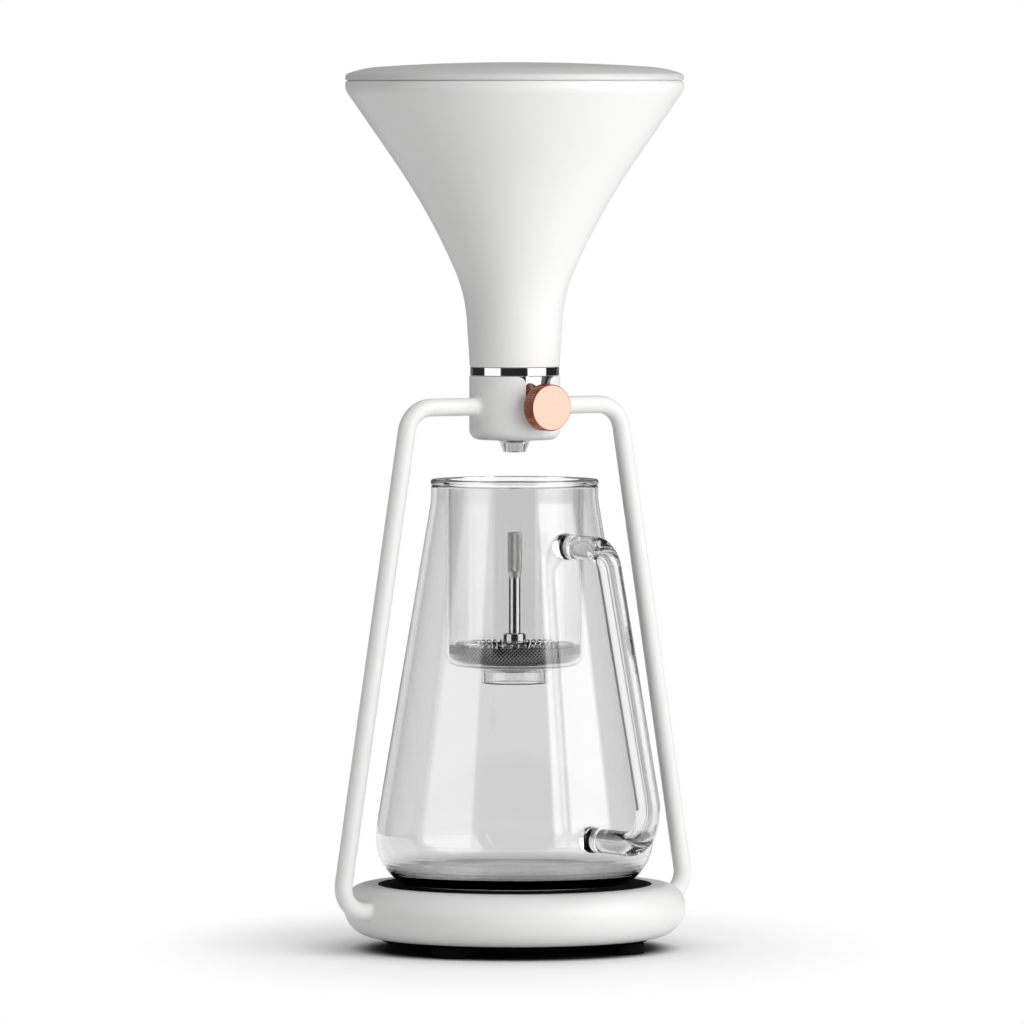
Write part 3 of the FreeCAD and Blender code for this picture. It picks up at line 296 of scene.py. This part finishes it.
def finish_metal(s, tints, rough, grain):
    """Closes a metal's tree. Its tint, roughness and surface follow the grain."""
    s.finish(Base_Color=s.mix(grain, *tints), Metallic=1.0,
             Roughness=s.vary(grain, low=rough * 0.8, high=rough * 1.2),
             Normal=s.bump(grain, depth=0.00001, strength=0.3))


def steel(name, tint, rough, stretch):
    """Metal with fine lines that run round the upright axis."""
    material, s = new_material(name)
    x, y, z = s.split(s.place())
    lines = s.join(s.times(s.length(x, y), stretch), s.times(z, stretch))
    finish_metal(s, shades(tint, 1.0, 1.1), rough, s.noise(scale=1.0, detail=3, where=lines))
    return material


def grained_steel(name, tint, rough, grain):
    """Metal with an even fine grain and no run."""
    material, s = new_material(name)
    finish_metal(s, shades(tint, 0.9, 1.1), rough, s.noise(grain, detail=3))
    return material


def copper():
    """Face turned in fine rings, and a rim painted a darker copper as shade."""
    material, s = new_material("copper_turned")
    place = s.split(s.place())
    r = s.length(place["X"], s.math("SUBTRACT", place["Z"], KNOB_HEIGHT))
    line = s.noise(scale=1.0, detail=2, where=s.join(s.times(r, KNOB_RINGS)))
    face = s.mix(line, COPPER_DARK, COPPER_LIGHT)
    rim = s.ramp(r, KNOB_R - KNOB_RIM_IN, KNOB_R - KNOB_RIM_OUT)
    s.finish(Base_Color=s.mix(rim, face, COPPER_RIM_PAINTED_SHADE), Metallic=1.0,
             Roughness=s.vary(line, low=0.26, high=0.34),
             Normal=s.bump(line, depth=0.00002, strength=0.5))
    return material


def glass(name, tint, wave, foot_shade=None):
    """Clear glass with the faint draw lines of blown ware, and a painted shade that tints it darker towards
    its foot.
    """
    material, s = new_material(name)
    x, y, z = s.split(s.place())
    drawn = s.join(s.times(x, DRAWN_ACROSS), s.times(y, DRAWN_ACROSS), s.times(z, DRAWN_UP))
    if foot_shade:
        # Painted shade: a darker tint low on the flask
        tint = s.mix(s.ramp(z, *FOOT_SHADE_HEIGHTS), foot_shade, tint)
    s.finish(Base_Color=tint, Roughness=0.0, IOR=1.47, Transmission_Weight=1.0,
             Normal=s.bump(s.noise(scale=1.0, detail=1, where=drawn), depth=wave, strength=0.3))
    return material


looks = {
    "white_paint": white_satin("white_paint_satin", (0.83, 0.83, 0.825), grain=900),
    "white_plastic": white_satin("white_moulding_satin", (0.84, 0.84, 0.835), grain=700),
    "black_plastic": dull_plastic("black_moulding", BLACK, rough=0.6, grain=1500, shine=0.05),
    "black_rubber": dull_plastic("black_rubber_matt", BLACK, rough=0.75, grain=1100, shine=0.03),
    "clear_glass": glass("glass_clear", (0.85, 0.852, 0.85), wave=0.0005, foot_shade=FOOT_SHADE_TINT),
    "polished_steel": steel("steel_polished", (0.60, 0.60, 0.61), rough=0.06, stretch=300),
    "dull_steel": steel("steel_dull", (0.36, 0.355, 0.35), rough=0.26, stretch=2500),
    "copper": copper(),
    "aluminium": steel("aluminium_milled", (0.70, 0.70, 0.70), rough=0.35, stretch=1200),
    "green_board": dull_plastic("board_green", (0.01, 0.09, 0.03), rough=0.4, grain=700),
    "battery_jacket": dull_plastic("battery_jacket_film", (0.05, 0.05, 0.06), rough=0.3, grain=300),
    "silicone": dull_plastic("silicone_grey", (0.30, 0.30, 0.30), rough=0.5, grain=600),
}
rod_steel = steel("steel_turned", (0.75, 0.75, 0.75), rough=0.05, stretch=500)
grip_steel = grained_steel("steel_knurled", (0.58, 0.57, 0.56), rough=0.22, grain=2600)
woven_steel = grained_steel("steel_woven", (0.80, 0.80, 0.79), rough=0.45, grain=2400)

# Nodes that look different from the rest of their slot
special = {
    "drip_chamber": glass("glass_thin", (0.99, 0.99, 0.99), wave=0.0003),
    # The lid is the same white moulding painted darker, as painted shade
    "lid": white_satin("white_moulding_lid_painted_shade", (0.70, 0.70, 0.695), grain=700),
    "filter_rod": rod_steel,
    "filter_hub": rod_steel,
    "rim_spring": grained_steel("steel_drawn_wire", (0.70, 0.70, 0.70), rough=0.12, grain=1800),
    # The cloth under the woven wires is painted near black, as painted shade between and behind the wires
    "filter_mesh": grained_steel("steel_cloth_painted_shade", (0.012, 0.012, 0.012), rough=0.5, grain=3200),
}

slot_of = {row["node"]: row["material_slot"] for row in frame["record"]["subparts"]}
for name, node in nodes.items():
    for place in node.material_slots:
        place.material = special.get(name) or looks[slot_of[name]]


# Pieces

def add_object(name, data):
    made = bpy.data.objects.new(name, data)
    bpy.context.scene.collection.objects.link(made)
    return made


def soften(mesh, sharp_angle):
    mesh.shade_smooth()
    mesh.set_sharp_from_angle(angle=math.radians(sharp_angle))


def new_piece(name, points, faces, slot, material, body=None, sharp_angle=35):
    mesh = bpy.data.meshes.new(name)
    mesh.from_pydata(points, [], faces)
    mesh.validate()
    soften(mesh, sharp_angle)
    mesh.materials.append(material)
    piece = add_object(name, mesh)
    if body:
        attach(piece, body)
    return piece


def band_faces(first, around, bands):
    """Faces between rings of points that follow each other in a list."""
    return [(low + n, low + (n + 1) % around, low + around + (n + 1) % around, low + around + n)
            for low in range(first, first + bands * around, around) for n in range(around)]


def seam_outline(name):
    """The half cross-section (r, z) of a turned CAD node, in order, read where its surface closes."""
    mesh = nodes[name].data
    links = {}
    for edge in mesh.edges:
        ends = [mesh.vertices[i].co for i in edge.vertices]
        if all(abs(p.y) < SEAM and p.x > -SEAM for p in ends):
            low, high = [(round(max(p.x, 0), SEAM_DIGITS), round(p.z, SEAM_DIGITS)) for p in ends]
            if low != high:
                links.setdefault(low, set()).add(high)
                links.setdefault(high, set()).add(low)
    chain = [min(links, key=lambda place: (len(links[place]), place))]
    while True:
        ahead = [place for place in sorted(links[chain[-1]]) if place not in chain]
        if not ahead:
            return chain
        chain.append(ahead[0])


def finer(chain):
    """Adds points close to both ends of each long straight run, so that smooth shading stays at the bends."""
    made = [chain[0]]
    for (r0, z0), (r1, z1) in zip(chain, chain[1:]):
        length = math.hypot(r1 - r0, z1 - z0)
        if length > 3 * SOFT_EDGE:
            for share in (SOFT_EDGE / length, 1 - SOFT_EDGE / length):
                made.append((r0 + (r1 - r0) * share, z0 + (z1 - z0) * share))
        made.append((r1, z1))
    return made


def domed(chain):
    """Raises the flask's floor a little towards the middle, as blown glass has it. The chain ends on the
    floor's upper side."""
    made = []
    for (r0, z0), (r1, z1) in zip(chain, chain[1:]):
        made.append((r0, z0))
        if min(r0, r1) < NEAR_AXIS and abs(r1 - r0) > PUNT_LEAST:
            made += [(r0 + (r1 - r0) * n / PUNT_RINGS, z0 + (z1 - z0) * n / PUNT_RINGS)
                     for n in range(1, PUNT_RINGS)]
    made.append(chain[-1])
    floor_top = chain[-1][1] + SKIN
    return [(r, z + PUNT_RISE * max(0.0, 1 - (r / PUNT_R) ** 2) if z < floor_top else z) for r, z in made]


def turned(chain):
    """Points and faces of a solid of revolution whose chain starts and ends on the axis."""
    angles = [math.tau * n / FLASK_TURNS for n in range(FLASK_TURNS)]
    points = [(0, 0, chain[0][1])]
    points += [(r * math.cos(a), r * math.sin(a), z) for r, z in chain[1:-1] for a in angles]
    points.append((0, 0, chain[-1][1]))
    end = len(points) - 1
    last = end - FLASK_TURNS
    faces = [(0, 1 + (n + 1) % FLASK_TURNS, 1 + n) for n in range(FLASK_TURNS)]
    faces += band_faces(1, FLASK_TURNS, len(chain) - 3)
    faces += [(last + n, last + (n + 1) % FLASK_TURNS, end) for n in range(FLASK_TURNS)]
    return points, faces


def outer_radius(chain, z):
    """Outer radius of a chain at a height."""
    found = [r0 + (r1 - r0) * (z - z0) / (z1 - z0)
             for (r0, z0), (r1, z1) in zip(chain, chain[1:]) if z0 != z1 and min(z0, z1) <= z <= max(z0, z1)]
    return max(found)


def bent_path(corners, bends, step):
    """Points (reach, z) along straight runs with tangent arcs at the inner corners."""
    points = [Vector(corners[0])]
    for before, corner, after, bend in zip(corners, corners[1:], corners[2:], bends):
        corner = Vector(corner)
        back = (Vector(before) - corner).normalized()
        ahead = (Vector(after) - corner).normalized()
        half = back.angle(ahead) / 2
        run = bend / math.tan(half)
        centre = corner + (back + ahead).normalized() * (bend / math.sin(half))
        start = corner + back * run - centre
        turn = -math.copysign(math.pi - 2 * half, back.x * ahead.y - back.y * ahead.x)
        count = math.ceil(abs(turn) * bend / step)
        for n in range(count + 1):
            a = turn * n / count
            points.append(centre + Vector((start.x * math.cos(a) - start.y * math.sin(a),
                                           start.x * math.sin(a) + start.y * math.cos(a))))
    points.append(Vector(corners[-1]))
    made = [points[0]]
    for one, other in zip(points, points[1:]):
        count = max(1, math.ceil((other - one).length / step))
        made += [one.lerp(other, (n + 1) / count) for n in range(count)]
    return made


def handle_tube(flask):
    """The bent glass rod, in rings. Near each weld the rings follow the flask's wall, and swell to a bead.
    Each end sinks half a wall into the flask."""
    starts = [(outer_radius(flask, z) + SKIN, z) for reach, z in HANDLE_CORNERS]
    path = bent_path([starts[0], *HANDLE_CORNERS, starts[1]], HANDLE_BENDS, HANDLE_STEP)
    length = [0.0]
    for one, other in zip(path, path[1:]):
        length.append(length[-1] + (other - one).length)
    points = []

    def ring(middle, along, away, sink=0.0):
        radius = HANDLE_R + math.exp(-((away - WELD_OUT) / WELD_HALF) ** 2) * WELD_SWELL
        free = min(1.0, max(0.0, away / WELD_REACH))
        for n in range(HANDLE_SIDES):
            a = math.tau * n / HANDLE_SIDES
            x = radius * math.cos(a)
            up = radius * math.sin(a)
            reach = middle.x - along.y * up
            z = middle.y + along.x * up
            if free < 1:
                wall = math.sqrt(outer_radius(flask, z) ** 2 - x * x) + away - sink
                reach = wall + (reach - wall) * free
            points.append((x, -reach, z))

    last = len(path) - 1
    for number, (place, at) in enumerate(zip(path, length)):
        along = (path[min(number + 1, last)] - path[max(number - 1, 0)]).normalized()
        if number == 0:
            ring(place, along, 0.0, GLASS_WALL / 2)
        ring(place, along, min(at, length[-1] - at))
        if number == last:
            ring(place, along, 0.0, GLASS_WALL / 2)
    end = len(points) - HANDLE_SIDES
    faces = band_faces(0, HANDLE_SIDES, end // HANDLE_SIDES)
    faces.append(tuple(reversed(range(HANDLE_SIDES))))
    faces.append(tuple(range(end, len(points))))
    return points, faces


def apply_modifiers(piece):
    shown = piece.evaluated_get(bpy.context.evaluated_depsgraph_get())
    mesh = bpy.data.meshes.new_from_object(shown)
    piece.modifiers.clear()
    piece.data = mesh


def flask_piece():
    """Flask and handle as one body of glass, as they are fused."""
    chain = seam_outline("carafe")
    if chain[0][1] > chain[-1][1]:
        chain.reverse()
    chain = finer(domed(chain))
    flask = new_piece("flask_glass", *turned(chain), "clear_glass", looks["clear_glass"])
    handle = new_piece("handle_glass", *handle_tube(chain), "clear_glass", looks["clear_glass"])
    joined = flask.modifiers.new("weld", "BOOLEAN")
    joined.operation = "UNION"
    joined.solver = "EXACT"
    joined.object = handle
    apply_modifiers(flask)
    bpy.data.objects.remove(handle)
    soften(flask.data, FLASK_SHARP)
    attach(flask, "carafe")
    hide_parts("carafe", "carafe_handle")


def grip_piece():
    """Sleeve of small diamonds, cut crosswise round the filter rod's grip."""
    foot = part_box("filter_rod")[1].z - GRIP_DROP - GRIP_LENGTH
    around = GRIP_DIAMONDS * GRIP_COLUMNS
    pitch = math.tau * GRIP_R / GRIP_DIAMONDS
    points = []

    def ridge(turns):
        return 1 - 2 * abs(turns % 1 - 0.5)

    for row in range(GRIP_ROWS + 1):
        up = GRIP_LENGTH * row / GRIP_ROWS
        edge = min(1.0, row / GRIP_RUNOUT, (GRIP_ROWS - row) / GRIP_RUNOUT)
        for n in range(around):
            a = math.tau * n / around
            turn = n / GRIP_COLUMNS
            cut = max(ridge(turn + up / pitch), ridge(turn - up / pitch))
            r = GRIP_R + GRIP_DEPTH * edge * (1 - cut)
            points.append((r * math.cos(a), r * math.sin(a), foot + up))
    new_piece("grip_knurl", points, band_faces(0, around, GRIP_ROWS), "dull_steel", grip_steel, "filter", 25)


def dish_place(along, low):
    """Place (r, z) and outward direction (r, z) on the dish, at a length along its bend and side."""
    bend_length = WEAVE_BEND * math.pi / 2
    if along >= bend_length:
        return WEAVE_R, low + WEAVE_BEND + along - bend_length, 1.0, 0.0
    tilt = along / WEAVE_BEND
    out_r, out_z = math.sin(tilt), -math.cos(tilt)
    return WEAVE_R - WEAVE_BEND + WEAVE_BEND * out_r, low + WEAVE_BEND + WEAVE_BEND * out_z, out_r, out_z


def weave_piece():
    """Fine wires woven over the filter's dish, round its lower edge and up its side."""
    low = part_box("filter_mesh")[0].z
    length = WEAVE_BEND * math.pi / 2 + WEAVE_HEIGHT - WEAVE_BEND - WEAVE_MARGIN
    spacing = math.tau * WEAVE_R / WEAVE_WIRES
    sides = ((1, 0), (0, 1), (-1, 0), (0, -1))
    points, faces = [], []
    for way in (-1, 1):
        for wire in range(WEAVE_WIRES):
            faces += band_faces(len(points), len(sides), WEAVE_STEPS)
            for step in range(WEAVE_STEPS + 1):
                along = length * step / WEAVE_STEPS
                middle = math.tau * wire / WEAVE_WIRES + way * along / WEAVE_R
                lift = WEAVE_LIFT * way * math.cos(math.tau * along / spacing)
                r, z, out_r, out_z = dish_place(along, low)
                for side, up in sides:
                    rise = up * WEAVE_WIRE_R + lift
                    reach = r + out_r * rise
                    a = middle + side * WEAVE_WIRE_R * WEAVE_WIDEN / WEAVE_R
                    points.append((reach * math.cos(a), reach * math.sin(a), z + out_z * rise))
    new_piece("mesh_weave", points, faces, "dull_steel", woven_steel, "filter", 180)


# Floor, light and camera

def add_floor():
    """White all over for the camera, gloss and glass, apart from a zone round the base that keeps the shadow.
    Under the base its colour is painted near black as a shadow, and in front of the object it is dark for
    what glass and metal mirror."""
    mesh = bpy.data.meshes.new("floor")
    half = FLOOR_SIZE / 2
    corners = [(-half, -half, 0), (half, -half, 0), (half, half, 0), (-half, half, 0)]
    mesh.from_pydata(corners, [], [(0, 1, 2, 3)])
    floor = add_object("floor", mesh)
    material, s = new_material("floor_white")
    ahead, right = s.camera_axes(s.split(s.place()))

    def away(stretch):
        return s.length(right, s.times(ahead, stretch))

    path = s.node("ShaderNodeLightPath").outputs
    seen = s.math("MAXIMUM", path["Is Camera Ray"],
                  s.math("MAXIMUM", path["Is Glossy Ray"], path["Is Transmission Ray"]))
    far = s.times(seen, s.ramp(away(FLOOR_STRETCH), FLOOR_NEAR, FLOOR_FAR))
    mirrored = s.math("GREATER_THAN", path["Glossy Depth"], 0.5)
    front = s.times(s.ramp(ahead, FRONT_START, FRONT_STOP), mirrored)
    # Painted shadow: the floor's colour turns near black under the base
    tint = s.mix(s.ramp(away(1.0), SHADE_IN, SHADE_OUT), SHADE_TINT, FLOOR_TINT)
    glow = s.times(seen, s.ramp(away(GLOW_STRETCH), GLOW_START, GLOW_STOP, 0.0, GLOW))
    near = s.node("ShaderNodeBsdfPrincipled", {
        "Base Color": tint, "Roughness": 0.6, "Specular IOR Level": 0.1,
        "Emission Color": WHITE, "Emission Strength": glow})
    white = s.node("ShaderNodeEmission", {"Color": WHITE, "Strength": s.between(front, 1.0, STUDIO_DARK)})
    both = s.node("ShaderNodeMixShader", {0: far, 1: near.outputs[0], 2: white.outputs[0]})
    s.node("ShaderNodeOutputMaterial", {0: both.outputs[0]})
    mesh.materials.append(material)


def add_world():
    """White for the camera. Gloss sees a studio: two soft boxes in front, dark between them, grey behind.
    What is seen straight through glass is white, apart from a grey flag at each side."""
    world = bpy.data.worlds.new("studio")
    bpy.context.scene.world = world
    world.use_nodes = True
    s = Shader(world.node_tree)
    way = s.split(s.node("ShaderNodeTexCoord").outputs["Generated"])
    z = way["Z"]
    ahead, right = s.camera_axes(way)
    angle = s.times(s.math("ARCTAN2", right, ahead), math.degrees(1))
    turn = s.math("ABSOLUTE", angle)
    path = s.node("ShaderNodeLightPath").outputs
    tall = s.times(s.ramp(z, BOX_LOW - BOX_END, BOX_LOW + BOX_END),
                   s.ramp(z, BOX_HIGH - BOX_END, BOX_HIGH + BOX_END, 1.0, 0.0))
    shine = STUDIO_DARK
    for low, high, foot, top in SOFT_BOXES:
        rise = s.ramp(angle, low - BOX_EDGE, low + BOX_EDGE)
        fall = s.ramp(angle, high - BOX_EDGE, high + BOX_EDGE, 1.0, 0.0)
        strength = s.ramp(z, *BOX_RISE, foot, top)
        shine = s.math("MULTIPLY_ADD", s.times(rise, s.times(fall, strength)), tall, shine)
    behind = s.ramp(turn, BEHIND - BOX_EDGE, BEHIND + BOX_EDGE)
    shine = s.math("MULTIPLY_ADD", behind, s.between(path["Is Transmission Ray"], GLOSS_BEHIND, 1.0), shine)
    flag = s.times(s.ramp(turn, *FLAG_START), s.ramp(turn, *FLAG_STOP, 1.0, 0.0))
    straight = s.times(path["Is Transmission Ray"], s.math("LESS_THAN", path["Glossy Depth"], 0.5))
    shine = s.mix(straight, shine, s.between(flag, 1.0, FLAG_LEVEL))
    gloss_or_glass = s.math("MAXIMUM", path["Is Glossy Ray"], path["Is Transmission Ray"])
    level = s.mix(gloss_or_glass, s.ramp(z, 0.0, 1.0, WORLD_LOW, WORLD_HIGH), shine)
    level = s.mix(path["Is Camera Ray"], level, WHITE)
    back = s.node("ShaderNodeBackground", {"Color": level, "Strength": 1.0})
    s.node("ShaderNodeOutputWorld", {0: back.outputs[0]})


def add_lamp(name, turn, elevation, distance, size, power):
    lamp = bpy.data.lights.new(name, "AREA")
    lamp.shape = "RECTANGLE"
    lamp.size, lamp.size_y = size
    lamp.energy = power
    holder = add_object(name, lamp)
    way = toward(CAMERA_AZIMUTH + turn, elevation)
    holder.location = way * distance + AXIS * LAMP_AIM
    holder.rotation_mode = "QUATERNION"
    holder.rotation_quaternion = way.to_track_quat("Z", "Y")
    holder.visible_glossy = False
    holder.visible_transmission = False
    holder.visible_camera = False


def add_camera():
    facing = toward(CAMERA_AZIMUTH)
    right = Vector((-facing.y, facing.x, 0))
    camera = bpy.data.cameras.new("camera")
    camera.sensor_width = SENSOR
    camera.lens = FOCAL_PIXELS / IMAGE_PIXELS * SENSOR
    camera.clip_end = CAMERA_END
    holder = add_object("camera", camera)
    holder.location = facing * CAMERA_DISTANCE + AXIS * CAMERA_HEIGHT
    aim = AXIS * AIM_HEIGHT - right * AIM_LEFT
    holder.rotation_mode = "QUATERNION"
    holder.rotation_quaternion = (aim - holder.location).to_track_quat("-Z", "Y")
    bpy.context.scene.camera = holder


flask_piece()
grip_piece()
weave_piece()
add_floor()
add_world()
for row in LAMPS:
    add_lamp(*row)
add_camera()
bpy.context.scene.view_settings.view_transform = "Standard"
